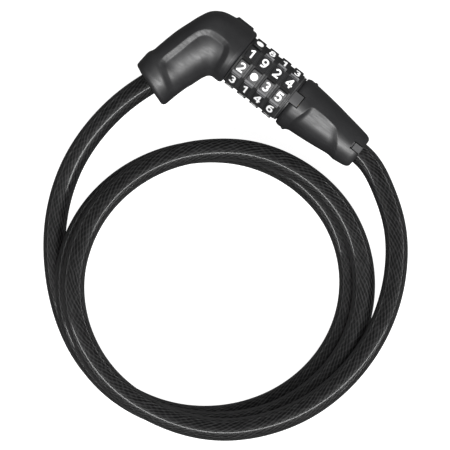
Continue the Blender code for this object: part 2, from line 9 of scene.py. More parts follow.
import bmesh
import bpy
import numpy as np
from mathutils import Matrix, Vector


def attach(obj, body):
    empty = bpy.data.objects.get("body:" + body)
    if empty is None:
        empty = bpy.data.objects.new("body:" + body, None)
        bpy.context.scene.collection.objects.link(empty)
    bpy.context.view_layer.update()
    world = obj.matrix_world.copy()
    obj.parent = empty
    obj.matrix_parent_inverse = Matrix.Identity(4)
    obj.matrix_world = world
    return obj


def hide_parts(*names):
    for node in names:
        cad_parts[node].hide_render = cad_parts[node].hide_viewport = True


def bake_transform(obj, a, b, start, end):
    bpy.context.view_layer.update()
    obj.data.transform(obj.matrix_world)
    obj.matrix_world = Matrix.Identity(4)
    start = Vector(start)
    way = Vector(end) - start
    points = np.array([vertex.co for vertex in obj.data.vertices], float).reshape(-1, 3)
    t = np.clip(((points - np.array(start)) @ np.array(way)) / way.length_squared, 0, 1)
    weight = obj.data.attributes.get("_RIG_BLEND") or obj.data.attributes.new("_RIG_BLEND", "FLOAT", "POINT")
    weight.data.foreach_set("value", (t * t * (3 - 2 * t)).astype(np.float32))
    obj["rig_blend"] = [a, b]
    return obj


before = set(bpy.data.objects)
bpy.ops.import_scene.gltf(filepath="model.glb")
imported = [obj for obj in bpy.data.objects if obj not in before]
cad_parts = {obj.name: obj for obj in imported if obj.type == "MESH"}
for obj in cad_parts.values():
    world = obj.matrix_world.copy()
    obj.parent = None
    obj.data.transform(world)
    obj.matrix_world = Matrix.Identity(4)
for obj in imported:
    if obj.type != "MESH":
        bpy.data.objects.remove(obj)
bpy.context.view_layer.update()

ORIGIN = np.array([3.15, -14.1, -17.0])  # the row's origin in the lock's own frame
ROLL = math.radians(4.0)
DIAL_X = [-13.4, -4.75, 3.9, 12.55]


def at(points):
    """Millimetres in the lock's frame to metres in the row frame."""
    return (np.asarray(points, dtype=float) - ORIGIN) * 0.001


# ---------------------------------------------------------------- materials


class Nodes:
    """A material's node tree, with short calls for the nodes used here."""

    def __init__(self, name):
        self.material = bpy.data.materials.new(name)
        self.material.use_nodes = True
        self.tree = self.material.node_tree
        self.shader = self.tree.nodes["Principled BSDF"]

    def add(self, kind, inputs=(), **properties):
        node = self.tree.nodes.new(kind)
        for key, value in properties.items():
            setattr(node, key, value)
        for key, value in dict(inputs).items():
            if hasattr(value, "links"):
                self.tree.links.new(value, node.inputs[key])
            else:
                node.inputs[key].default_value = value
        return node

    def math(self, operation, a, b=0.0, clamp=False):
        return self.add("ShaderNodeMath", {0: a, 1: b}, operation=operation, use_clamp=clamp).outputs[0]

    def remap(self, value, low, high, to_low, to_high):
        node = self.add(
            "ShaderNodeMapRange",
            {"Value": value, "From Min": low, "From Max": high, "To Min": to_low, "To Max": to_high},
        )
        return node.outputs["Result"]

    def noise(self, place, scale, detail=2.0, rough=0.5, distortion=0.0):
        node = self.add(
            "ShaderNodeTexNoise",
            {"Vector": place, "Scale": scale, "Detail": detail, "Roughness": rough, "Distortion": distortion},
        )
        return node.outputs["Fac"]

    def place(self, stretch=None):
        """Object coordinates, stretched by a factor per axis if one is given."""
        out = self.add("ShaderNodeTexCoord").outputs["Object"]
        if stretch is None:
            return out
        return self.add("ShaderNodeMapping", {"Vector": out, "Scale": stretch}).outputs["Vector"]

    def colours(self, value, stops):
        node = self.add("ShaderNodeValToRGB", {"Fac": value})
        ramp = node.color_ramp
        while len(ramp.elements) < len(stops):
            ramp.elements.new(0.5)
        for element, (position, colour) in zip(ramp.elements, stops):
            element.position = position
            element.color = (*colour, 1.0)
        return node.outputs["Color"]

    def bump(self, height, strength, distance, normal=None):
        inputs = {"Height": height, "Strength": strength, "Distance": distance}
        if normal is not None:
            inputs["Normal"] = normal
        return self.add("ShaderNodeBump", inputs).outputs["Normal"]

    def feed(self, **sockets):
        for name, value in sockets.items():
            socket = self.shader.inputs[name.replace("_", " ")]
            if hasattr(value, "links"):
                self.tree.links.new(value, socket)
            else:
                socket.default_value = value
        return self.material


def moulded(name, dark, light, rough, grain=0.35, scuff=0.06):
    """Satin moulded plastic: fine spark-eroded grain, slow mottling and faint scuffs."""
    n = Nodes(name)
    place = n.place()
    fine = n.noise(place, 2600.0, 2.0, 0.6)
    middle = n.noise(place, 800.0, 3.0, 0.55)
    slow = n.noise(place, 55.0, 3.0, 0.5)
    scratch = n.noise(n.place((30.0, 900.0, 900.0)), 1.0, 4.0, 0.7, 0.6)
    tone = n.math("ADD", n.math("MULTIPLY", slow, 0.6), n.math("MULTIPLY", fine, 0.4))
    base = n.colours(tone, [(0.3, dark), (0.7, light)])
    height = n.math("ADD", n.math("MULTIPLY", fine, 0.7), n.math("MULTIPLY", middle, 0.5))
    roughness = n.math("ADD", n.remap(slow, 0.3, 0.7, rough - 0.04, rough + 0.04), n.remap(scratch, 0.35, 0.65, -scuff, scuff))
    return n.feed(
        Base_Color=base,
        Roughness=roughness,
        Specular_IOR_Level=0.5,
        Normal=n.bump(height, grain, 0.00005),
    )


def metal(name, dark, light, rough, rings=0.25, cast=False):
    """Turned metal with fine tool rings about X, or cast metal with a pebbled skin."""
    n = Nodes(name)
    place = n.place()
    if cast:
        fine = n.noise(place, 900.0, 5.0, 0.65)
        slow = n.noise(place, 120.0, 3.0, 0.5)
    else:
        fine = n.noise(n.place((3800.0, 120.0, 120.0)), 1.0, 3.0, 0.6)
        slow = n.noise(place, 160.0, 4.0, 0.6)
    tone = n.math("ADD", n.math("MULTIPLY", slow, 0.5), n.math("MULTIPLY", fine, 0.5))
    return n.feed(
        Base_Color=n.colours(tone, [(0.32, dark), (0.68, light)]),
        Metallic=1.0,
        Roughness=n.remap(tone, 0.3, 0.7, rough - 0.08, rough + 0.08),
        Normal=n.bump(fine, rings, 0.00004),
    )


def braided_jacket():
    """Smoked vinyl over a steel braid, read from the tube's UVs (u in metres along the
    cable, v once round it). Two families of wire bundles cross; the gaps beside the
    bundles on top read as short dark strokes that lean one way, broken up by the haze
    of the vinyl."""
    n = Nodes("jacket_smoked_vinyl")
    uv = n.add("ShaderNodeSeparateXYZ", {"Vector": n.add("ShaderNodeTexCoord").outputs["UV"]})
    run, round_it = uv.outputs["X"], uv.outputs["Y"]
    wander = n.noise(n.place(), 130.0, 3.0, 0.55)
    run = n.math("ADD", run, n.remap(wander, 0.3, 0.7, -0.0009, 0.0009))
    a = n.math("ADD", n.math("MULTIPLY", round_it, TWILL_COUNT), n.math("MULTIPLY", run, 1 / TWILL_PITCH))
    b = n.math("SUBTRACT", n.math("MULTIPLY", round_it, CROSS_COUNT), n.math("MULTIPLY", run, 1 / CROSS_PITCH))

    def ridge(phase, power):
        """One at the middle of each bundle, none at its edges."""
        crown = n.math("SINE", n.math("MULTIPLY", n.math("FRACT", phase), math.pi))
        return n.math("POWER", crown, power)

    # Noise drawn out along the bundles' lay: constant along a helix round the tube
    lay = n.math("ADD", n.math("MULTIPLY", round_it, 2 * math.pi), n.math("MULTIPLY", run, LAY))
    helix = n.add(
        "ShaderNodeCombineXYZ",
        {
            "X": n.math("MULTIPLY", n.math("COSINE", lay), 8.5),
            "Y": n.math("MULTIPLY", n.math("SINE", lay), 8.5),
            "Z": n.math("MULTIPLY", run, 210.0),
        },
    ).outputs["Vector"]
    strokes = n.noise(helix, 1.0, 2.0, 0.5)
    dash = n.math("MULTIPLY", ridge(a, 1.2), n.remap(ridge(b, 0.9), 0.0, 1.0, 0.25, 1.0))
    dash = n.math("MULTIPLY", dash, n.remap(strokes, 0.35, 0.65, 1.25, 0.5))
    # Painted reflection: the weave's dark strokes fade where the surface turns away from facing straight up, so the
    # tube's sides read as plain, lighter grey vinyl
    square_on = n.add("ShaderNodeSeparateXYZ", {"Vector": n.add("ShaderNodeNewGeometry").outputs["Normal"]}).outputs["Z"]
    square_on = n.remap(square_on, 0.45, 0.75, 0.3, 1.0)
    lit = n.math("SUBTRACT", n.remap(strokes, 0.3, 0.7, 0.8, 1.0), n.math("MULTIPLY", n.math("MULTIPLY", dash, 1.1), square_on))
    base = n.colours(
        lit,
        [(0.0, (0.0007, 0.0007, 0.0009)), (0.4, (0.0050, 0.0050, 0.0052)), (0.95, (0.042, 0.042, 0.0427))],
    )
    ripple = n.noise(n.add("ShaderNodeMapping", {"Vector": n.add("ShaderNodeTexCoord").outputs["UV"], "Scale": (60.0, 6.0, 1.0)}).outputs["Vector"], 1.0, 3.0, 0.5)
    skin = n.bump(ripple, 0.1, 0.00015)
    return n.feed(
        Base_Color=base,
        Metallic=0.0,
        Roughness=n.remap(lit, 0.0, 1.0, 0.55, 0.45),
        Specular_IOR_Level=0.16,
        Normal=n.bump(lit, 0.3, 0.0001, skin),
        Coat_Weight=0.3,
        Coat_Roughness=0.045,
        Coat_IOR=1.45,
        Coat_Normal=skin,
    )


TWILL_COUNT, TWILL_PITCH = 22.0, 0.00436  # bundles round the tube, and metres along it for one
CROSS_COUNT, CROSS_PITCH = 14.0, 0.0045
LAY = 2 * math.pi / (TWILL_COUNT * TWILL_PITCH)

housing = moulded("housing_black_plastic", (0.014, 0.014, 0.0148), (0.024, 0.024, 0.0252), 0.44)
index_plastic = moulded("index_grey_plastic", (0.046, 0.046, 0.0475), (0.070, 0.070, 0.072), 0.48, 0.45)
dial_plastic = moulded("dial_black_plastic", (0.014, 0.014, 0.0148), (0.024, 0.024, 0.025), 0.40, 0.3)
# Painted highlight: a light grey finish that makes some of the dials' slots look lit
groove_painted_highlight = moulded("dial_groove_painted_highlight", (0.17, 0.17, 0.175), (0.23, 0.23, 0.235), 0.42, 0.3)
flange_plastic = moulded("dial_flange_plastic", (0.017, 0.017, 0.0176), (0.027, 0.027, 0.0278), 0.55, 0.3)
# Painted shade: a near-black finish that makes a few of the dials' slots look shaded
groove_painted_shade = moulded("dial_groove_painted_shade", (0.004, 0.004, 0.0042), (0.007, 0.007, 0.0074), 0.7, 0.3)
digit_paint = moulded("digit_white_paint", (0.80, 0.80, 0.80), (0.92, 0.92, 0.92), 0.34, 0.15)
jacket_vinyl = braided_jacket()
steel = metal("steel_turned", (0.42, 0.42, 0.43), (0.66, 0.66, 0.67), 0.3)
bright_steel = metal("steel_bright", (0.62, 0.62, 0.63), (0.82, 0.82, 0.83), 0.2)
dark_brass = metal("brass_aged", (0.20, 0.15, 0.075), (0.30, 0.23, 0.12), 0.42)
brass = metal("brass_turned", (0.60, 0.44, 0.20), (0.80, 0.62, 0.32), 0.3)
washer_nickel = moulded("washer_nickel", (0.055, 0.055, 0.056), (0.085, 0.085, 0.086), 0.45, 0.15)
zinc = metal("zinc_cast", (0.09, 0.09, 0.092), (0.15, 0.15, 0.153), 0.52, 0.5, cast=True)


# ---------------------------------------------------------------- mesh helpers


def piece(name, vertices, faces, finish, body, replaces=(), smooth_by=35, extra=()):
    """A new visual piece from row-frame vertices, riding on a body."""
    mesh = bpy.data.meshes.new(name)
    mesh.from_pydata([tuple(v) for v in vertices], [], [tuple(int(i) for i in f) for f in faces])
    shape = bmesh.new()
    shape.from_mesh(mesh)
    bmesh.ops.remove_doubles(shape, verts=shape.verts, dist=1e-7)
    bmesh.ops.recalc_face_normals(shape, faces=shape.faces)
    shape.to_mesh(mesh)
    shape.free()
    return adopt(name, mesh, finish, body, replaces, smooth_by, extra)


def open_edges(made):
    """Prints how many edges of a piece don't have exactly two faces."""
    shape = bmesh.new()
    shape.from_mesh(made.data)
    count = sum(1 for e in shape.edges if not e.is_manifold)
    shape.free()
    print(made.name, "faces", len(made.data.polygons), "open edges", count)


def adopt(name, mesh, finish, body, replaces=(), smooth_by=35, extra=()):
    mesh.materials.clear()
    for m in (finish, *extra):
        mesh.materials.append(m)
    made = bpy.data.objects.new(name, mesh)
    bpy.context.scene.collection.objects.link(made)
    mesh.shade_smooth()
    mesh.set_sharp_from_angle(angle=math.radians(smooth_by))
    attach(made, body)
    if replaces:
        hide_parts(*replaces)
    return made


def rings_to_faces(rows, columns, close_rows=True, close_columns=True):
    """Quads over a grid of rows by columns of vertices, wrapping round as asked."""
    faces = []
    for i in range(rows if close_rows else rows - 1):
        for k in range(columns if close_columns else columns - 1):
            j, m = (i + 1) % rows, (k + 1) % columns
            faces.append((i * columns + k, i * columns + m, j * columns + m, j * columns + k))
    return faces


def lathe(profile, segments, turn=0.0):
    """Vertices and faces of a closed profile of (x, r) turned about the X axis."""
    angles = turn + np.arange(segments) * 2 * math.pi / segments
    rows = [
        np.stack([np.full(segments, x), r * np.sin(angles), r * np.cos(angles)], axis=1)
        for x, r in profile
    ]
    return np.concatenate(rows), rings_to_faces(len(profile), segments)


def rounded(profile, radius, steps=4):
    """The closed profile with each corner rounded: radius is one number or one per corner."""
    out = []
    count = len(profile)
    radii = radius if hasattr(radius, "__len__") else [radius] * count
    for i in range(count):
        p, q, r = (np.array(profile[(i + k) % count], dtype=float) for k in (-1, 0, 1))
        a, b = p - q, r - q
        la, lb = np.linalg.norm(a), np.linalg.norm(b)
        cut = min(radii[i], 0.45 * la, 0.45 * lb)
        if cut < 1e-4:
            out.append(tuple(q))
            continue
        s, e = q + a / la * cut, q + b / lb * cut
        for k in range(steps + 1):
            t = k / steps
            out.append(tuple((1 - t) ** 2 * s + 2 * t * (1 - t) * q + t**2 * e))
    return out


def carve(made, cutters, smooth_by=35):
    """Cuts boxes and bars (as meshes) out of a piece and applies it."""
    for name, vertices, faces in cutters:
        mesh = bpy.data.meshes.new(name)
        mesh.from_pydata([tuple(v) for v in vertices], [], faces)
        shape = bmesh.new()
        shape.from_mesh(mesh)
        bmesh.ops.recalc_face_normals(shape, faces=shape.faces)
        shape.to_mesh(mesh)
        shape.free()
        tool = bpy.data.objects.new(name, mesh)
        bpy.context.scene.collection.objects.link(tool)
        step = made.modifiers.new(name, "BOOLEAN")
        step.operation = "DIFFERENCE"
        step.solver = "EXACT"
        step.object = tool
        bpy.context.view_layer.update()
        graph = bpy.context.evaluated_depsgraph_get()
        result = bpy.data.meshes.new_from_object(made.evaluated_get(graph), depsgraph=graph)
        made.modifiers.clear()
        old = made.data
        made.data = result
        result.name = made.name
        bpy.data.meshes.remove(old)
        bpy.data.objects.remove(tool, do_unlink=True)
    made.data.shade_smooth()
    made.data.set_sharp_from_angle(angle=math.radians(smooth_by))
    return made


def box_mesh(low, high, roll=0.0):
    """A box between two corners, rolled about the X axis from +Z towards +Y, in the row frame."""
    (x0, y0, z0), (x1, y1, z1) = low, high
    corners = np.array([(x, y, z) for x in (x0, x1) for y in (y0, y1) for z in (z0, z1)], dtype=float)
    c, s = math.cos(roll), math.sin(roll)
    y, z = corners[:, 1].copy(), corners[:, 2].copy()
    corners[:, 1], corners[:, 2] = y * c + z * s, -y * s + z * c
    faces = [(0, 1, 3, 2), (4, 6, 7, 5), (0, 4, 5, 1), (2, 3, 7, 6), (0, 2, 6, 4), (1, 5, 7, 3)]
    return at(corners), faces


def smoothstep(x):
    x = np.clip(x, 0.0, 1.0)
    return x * x * (3 - 2 * x)


def inside_distance(points, corners):
    """Signed distance to a closed outline, positive inside it."""
    p = np.asarray(points, dtype=float)
    c = np.asarray(corners, dtype=float)
    best = np.full(len(p), 1e9)
    inside = np.zeros(len(p), dtype=bool)
    for a, b in zip(c, np.roll(c, -1, axis=0)):
        edge = b - a
        t = np.clip(((p - a) @ edge) / (edge @ edge), 0, 1)
        best = np.minimum(best, np.linalg.norm(p - (a + t[:, None] * edge), axis=1))
        crosses = (a[1] > p[:, 1]) != (b[1] > p[:, 1])
        with np.errstate(divide="ignore", invalid="ignore"):
            x = (b[0] - a[0]) * (p[:, 1] - a[1]) / (b[1] - a[1]) + a[0]
        inside ^= crosses & (p[:, 0] < x)
    return np.where(inside, best, -best)


def spline(points, per_span=24):
    """Points along the natural cubic spline through the given ones, by chord length."""
    p = np.asarray(points, dtype=float)
    gaps = np.linalg.norm(np.diff(p, axis=0), axis=1)
    n = len(p)
    system = np.zeros((n, n))
    right = np.zeros((n, p.shape[1]))
    system[0, 0] = system[-1, -1] = 1.0
    for i in range(1, n - 1):
        system[i, i - 1 : i + 2] = gaps[i - 1], 2 * (gaps[i - 1] + gaps[i]), gaps[i]
        right[i] = 6 * ((p[i + 1] - p[i]) / gaps[i] - (p[i] - p[i - 1]) / gaps[i - 1])
    bend = np.linalg.solve(system, right)
    line = [p[0]]
    for i, gap in enumerate(gaps):
        for k in range(1, per_span + 1):
            b = k / per_span * gap
            a = gap - b
            line.append(
                (bend[i] * a**3 + bend[i + 1] * b**3) / (6 * gap)
                + (p[i] / gap - bend[i] * gap / 6) * a
                + (p[i + 1] / gap - bend[i + 1] * gap / 6) * b
            )
    return np.array(line)


def evenly(line, count):
    run = np.concatenate([[0], np.cumsum(np.linalg.norm(np.diff(line, axis=0), axis=1))])
    marks = np.linspace(0, run[-1], count)
    return np.stack([np.interp(marks, run, line[:, c]) for c in range(line.shape[1])], axis=1), run[-1]


# ---------------------------------------------------------------- cable

CABLE_R = 6.2
LAYER_0, LAYER = CABLE_R + 0.2, 12.7
COIL_CENTRE = (48.6, -107.0)
ARM = np.array([0.326, 0.945, 0.0])
ARM /= np.linalg.norm(ARM)
ARM_EXIT = np.array([-48.7, -42.1, 0.0])
L0, L1, L2 = LAYER_0, LAYER_0 + LAYER, LAYER_0 + 2 * LAYER
# Angle clockwise from +Y about the coil's centre, radius, and height above the surface
ROUTE = [
    (297.8, 114.2, 16.6), (285.8, 108.8, 14.2), (273.8, 103.6, 11.0), (261.8, 98.2, 8.2),
    (249.8, 93.0, L0 + 0.4), (237.8, 88.5, L0), (225.8, 85.3, L0), (213.8, 83.2, L0),
    (201.8, 81.6, L0), (189.8, 79.8, L0), (177.8, 77.6, L0), (159.8, 74.8, L0),
    (141.8, 72.9, L0), (117.8, 72.2, L0), (93.8, 73.2, L0), (69.8, 74.8, L0),
    (45.8, 75.8, L0), (21.8, 75.8, L0), (-2.2, 74.8, L0), (-26.2, 74.3, L0),
    (-38.2, 74.3, L0 + 0.2), (-50.2, 74.8, L0 + 1.1), (-74.2, 76.9, L0 + 4.1),
    (-98.2, 79.7, L0 + 8.1), (-110.2, 80.8, L0 + 10.1), (-122.2, 81.4, L0 + 11.6),
    (-134.2, 81.3, L1 - 0.3), (-146.2, 81.0, L1), (-164.2, 79.8, L1), (-182.2, 77.8, L1),
    (-218.2, 75.4, L1), (-242.2, 77.0, L1), (-266.2, 79.4, L1), (-290.2, 81.8, L1),
    (-314.2, 82.5, L1), (-338.2, 81.4, L1), (-362.2, 78.6, L1), (-386.2, 76.0, L1),
    (-398.2, 74.8, L1 + 0.2), (-410.2, 74.4, L1 + 1.1), (-434.2, 74.6, L1 + 4.1),
    (-458.2, 75.7, L1 + 8.1), (-470.2, 76.2, L1 + 10.1), (-482.2, 76.7, L1 + 11.6),
    (-494.2, 76.8, L2 - 0.3), (-506.2, 76.7, L2), (-530.2, 76.2, L2), (-554.2, 75.8, L2),
    (-578.2, 77.8, L2), (-602.2, 80.7, L2), (-614.2, 82.9, L2 - 0.1), (-638.2, 88.4, L2 - 1.4),
    (-650.2, 92.0, L2 - 3.2), (-662.2, 96.1, L2 - 5.6), (-674.2, 100.4, L2 - 8.4),
    (-686.2, 104.5, L2 - 11.0), (-698.2, 107.3, L2 - 13.2),
]


def on_route(angle, radius, height):
    turn = math.radians(angle)
    return (
        COIL_CENTRE[0] + radius * math.sin(turn),
        COIL_CENTRE[1] + radius * math.cos(turn),
        height + ORIGIN[2],
    )


knots = [ARM_EXIT + 3.6 * ARM, ARM_EXIT + 1.0 * ARM, ARM_EXIT - 4.0 * ARM]
knots += [on_route(*step) for step in ROUTE]
knots += [(71.5, -0.5, 0.1), (66.0, 0, 0), (60.6, 0, 0)]
RINGS, SIDES = 1250, 32
centre, cable_mm = evenly(spline(knots), RINGS)
centre = at(centre)
cable_length = cable_mm * 0.001

# A frame carried along the line without twisting
tangents = np.gradient(centre, axis=0)
tangents /= np.linalg.norm(tangents, axis=1)[:, None]
normals = np.zeros_like(centre)
normals[0] = np.cross(tangents[0], (0.3, 0.2, 1.0))
normals[0] /= np.linalg.norm(normals[0])
for i in range(1, RINGS):
    carried = normals[i - 1] - tangents[i] * (normals[i - 1] @ tangents[i])
    normals[i] = carried / np.linalg.norm(carried)
binormals = np.cross(tangents, normals)

angles = np.arange(SIDES) * 2 * math.pi / SIDES
skin = (
    centre[:, None, :]
    + CABLE_R * 0.001 * (np.cos(angles)[None, :, None] * normals[:, None, :] + np.sin(angles)[None, :, None] * binormals[:, None, :])
).reshape(-1, 3)
ends = np.array([centre[0], centre[-1]])
cable_mesh = bpy.data.meshes.new("cable")
quads = rings_to_faces(RINGS, SIDES, close_rows=False)
quads = [f[::-1] for f in quads]
first, last = RINGS * SIDES, RINGS * SIDES + 1
caps = [(first, k, (k + 1) % SIDES) for k in range(SIDES)]
caps += [(last, (RINGS - 1) * SIDES + (k + 1) % SIDES, (RINGS - 1) * SIDES + k) for k in range(SIDES)]
cable_mesh.from_pydata([tuple(v) for v in np.concatenate([skin, ends])], [], quads + caps)
step = cable_length / (RINGS - 1)
uvs = cable_mesh.uv_layers.new(name="braid")
flat = []
for i in range(RINGS - 1):
    for k in range(SIDES):
        corners = [(i, k), (i, k + 1), (i + 1, k + 1), (i + 1, k)][::-1]
        for row, column in corners:
            flat += [row * step, column / SIDES]
flat += [0.0] * (2 * 3 * len(caps))
uvs.data.foreach_set("uv", flat)
shape = bmesh.new()
shape.from_mesh(cable_mesh)
bmesh.ops.recalc_face_normals(shape, faces=shape.faces)
shape.to_mesh(cable_mesh)
shape.free()
cable_mesh.materials.append(jacket_vinyl)
cable_mesh.shade_smooth()
cable_mesh.set_sharp_from_angle(angle=math.radians(50))
cable = bpy.data.objects.new("cable", cable_mesh)
bpy.context.scene.collection.objects.link(cable)
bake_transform(cable, "lock_body", "plug", start=tuple(centre[-400]), end=tuple(centre[-1]))
run = np.repeat(np.arange(RINGS) * step, SIDES)
run = np.concatenate([run, [0.0, cable_length]])
follow = smoothstep((run - (cable_length - 0.275)) / 0.235)
cable_mesh.attributes["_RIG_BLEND"].data.foreach_set("value", follow.astype(np.float32))
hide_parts("cable_jacket", "cable_jacket_tail", "steel_cable", "steel_cable_tail")
print("cable length", round(cable_length, 4))

# ---------------------------------------------------------------- dials and numbers

PAD_FLAT, DRUM_R, DRUM_FLAT, PAD_HALF, SLOT_HALF, DIAL_HALF, BORE_R = 15.25, 14.2, 14.08, 2.95, 1.0, 4.29, 11.3


def dial_mesh():
    """A ten-sided drum with ten flat pads: rows across its width, columns round it, and its bore."""
    across = [-DIAL_HALF, -DIAL_HALF + 0.05, -DIAL_HALF + 0.12, -3.2]
    across += [-PAD_HALF - 0.02, -PAD_HALF, -PAD_HALF + 0.02, -PAD_HALF + 0.08, -PAD_HALF + 0.16, -PAD_HALF + 0.26, -2.4]
    across = across + [-1.2, 0.0] + [-x for x in across[::-1]]
    across.insert(len(across) // 2 + 1, 1.2)
    across = sorted(set(round(x, 4) for x in across))
    pitch = math.radians(36)
    arc = [0.0, SLOT_HALF - 0.3, SLOT_HALF - 0.02, SLOT_HALF, SLOT_HALF + 0.02, SLOT_HALF + 0.08, SLOT_HALF + 0.16, SLOT_HALF + 0.26]
    half = [a / PAD_FLAT for a in arc] + [math.radians(d) for d in (6.5, 9, 12, 15, 18)]
    local = half + [pitch - a for a in half[-2:0:-1]]
    rows = []
    for x in across:
        edge = max(0.0, 0.08 - (DIAL_HALF - abs(x)))
        for_row = []
        for pad in range(10):
            for a in local:
                phi = ROLL + pad * pitch + a
                off = a - pitch / 2
                flat_r = PAD_FLAT / math.cos(off)
                inset_arc = (min(a, pitch - a)) * PAD_FLAT - SLOT_HALF
                inset_x = PAD_HALF - abs(x)
                d = min(inset_arc, inset_x)
                if inset_arc < 0.5 and inset_x < 0.5:
                    d = 0.5 - math.hypot(0.5 - inset_arc, 0.5 - inset_x)
                if d <= 0:
                    r = (DRUM_FLAT / math.cos(off) if abs(x) > PAD_HALF else DRUM_R) - edge
                else:
                    rim = min(1.0, d / 0.26)
                    r = DRUM_R + (flat_r - DRUM_R) * (0.72 + 0.28 * math.sqrt(1 - (1 - rim) ** 2))
                for_row.append((x, r * math.sin(phi), r * math.cos(phi)))
        rows.append(for_row)
    count = len(rows[0])
    angles = [ROLL + pad * pitch + a for pad in range(10) for a in local]
    for x, r in ((DIAL_HALF, BORE_R + 0.2), (DIAL_HALF - 0.2, BORE_R), (-DIAL_HALF + 0.2, BORE_R), (-DIAL_HALF, BORE_R + 0.2)):
        rows.append([(x, r * math.sin(p), r * math.cos(p)) for p in angles])
    vertices = np.array(rows).reshape(-1, 3)
    return vertices, rings_to_faces(len(rows), count)


def glyph_strokes():
    def arc(cx, cy, r, start, end, steps=14):
        return [
            (cx + r * math.cos(math.radians(start + (end - start) * k / steps)), cy + r * math.sin(math.radians(start + (end - start) * k / steps)))
            for k in range(steps + 1)
        ]

    six_bowl = arc(0.02, -0.88, 1.42, 0, 360, 28)
    six = [six_bowl, [(-1.4, -0.8), (-1.38, 0.1), (-1.16, 1.05), (-0.68, 1.82), (0.08, 2.26), (0.9, 2.3), (1.42, 2.08)]]
    return {
        1: [[(0.45, -2.85), (0.45, 2.6)], [(0.45, 2.3), (-1.35, 1.05)]],
        2: [arc(-0.02, 0.92, 1.38, 160, -38) + [(-1.1, -2.0)], [(-1.85, -2.28), (1.85, -2.28)]],
        3: [arc(-0.12, 1.14, 1.14, 150, -92), arc(-0.12, -0.98, 1.32, 92, -152)],
        4: [[(0.78, 2.45), (-1.62, -0.78)], [(-1.95, -1.05), (2.1, -1.05)], [(0.85, 2.85), (0.85, -2.85)]],
        5: [[(1.6, 2.28), (-1.12, 2.28), (-1.32, 0.12)] + arc(-0.1, -0.82, 1.46, 130, -152)],
        6: six,
        7: [[(-1.75, 2.28), (1.6, 2.28), (-0.65, -2.85)]],
        8: [arc(0, 1.22, 1.08, 0, 360, 24), arc(0, -0.94, 1.36, 0, 360, 28)],
        9: [[(-x, -y) for x, y in s] for s in six],
    }


STROKE = 0.52  # half the width of a number's stroke


def stroke_distance(points, strokes):
    """Signed distance to a glyph, negative inside it, its strokes' ends cut square."""
    best = np.full(len(points), 9.0)
    for line in strokes:
        closed = math.dist(line[0], line[-1]) < 1e-6
        for i in range(len(line) - 1):
            a, b = np.array(line[i]), np.array(line[i + 1])
            edge = b - a
            length = np.linalg.norm(edge)
            t = ((points - a) @ edge) / length
            d = np.linalg.norm(points - (a + np.clip(t / length, 0, 1)[:, None] * edge), axis=1) - STROKE
            if not closed and i == 0:
                d = np.maximum(d, -t)
            if not closed and i == len(line) - 2:
                d = np.maximum(d, t - length)
            best = np.minimum(best, d)
    return best


def outline_cells(distance, xs, ys):
    """Marching squares: vertices and polygons that fill the negative part of a grid."""
    vertices, index, polygons = [], {}, []

    def corner(i, j):
        key = (i, j)
        if key not in index:
            index[key] = len(vertices)
            vertices.append((xs[i], ys[j]))
        return index[key]

    def crossing(i, j, k, m):
        key = (min((i, j), (k, m)), max((i, j), (k, m)))
        if key not in index:
            a, b = distance[i, j], distance[k, m]
            t = a / (a - b)
            index[key] = len(vertices)
            vertices.append((xs[i] + (xs[k] - xs[i]) * t, ys[j] + (ys[m] - ys[j]) * t))
        return index[key]

    for i in range(len(xs) - 1):
        for j in range(len(ys) - 1):
            loop = [(i, j), (i + 1, j), (i + 1, j + 1), (i, j + 1)]
            signs = [distance[p] < 0 for p in loop]
            if not any(signs):
                continue
            polygon = []
            for k in range(4):
                p, q = loop[k], loop[(k + 1) % 4]
                if signs[k]:
                    polygon.append(corner(*p))
                if signs[k] != signs[(k + 1) % 4]:
                    polygon.append(crossing(*p, *q))
            if len(polygon) > 2:
                polygons.append(polygon)
    return np.array(vertices), polygons


def slab(vertices, polygons):
    """The outline's polygons as the two faces of a thin slab, with its walls: indices only."""
    count = len(vertices)
    faces = [list(p) for p in polygons] + [[i + count for i in p[::-1]] for p in polygons]
    edges = {}
    for p in polygons:
        for a, b in zip(p, p[1:] + p[:1]):
            edges[(a, b)] = True
    for a, b in list(edges):
        if (b, a) not in edges:
            faces.append([b, a, a + count, b + count])
    return faces


grid_x, grid_y = np.arange(-3.0, 3.01, 0.1), np.arange(-3.3, 3.31, 0.1)
mesh_points = np.stack(np.meshgrid(grid_x, grid_y, indexing="ij"), axis=-1)
glyphs = {}
for number, strokes in glyph_strokes().items():
    field = stroke_distance(mesh_points.reshape(-1, 2), strokes).reshape(mesh_points.shape[:2])
    glyphs[number] = outline_cells(field, grid_x, grid_y)
field = np.linalg.norm(mesh_points, axis=-1) - 2.2
glyphs[0] = outline_cells(field, grid_x, grid_y)

TOP_NUMBERS = [0, 8, 1, 3]  # the number on each dial's pad at 58 degrees
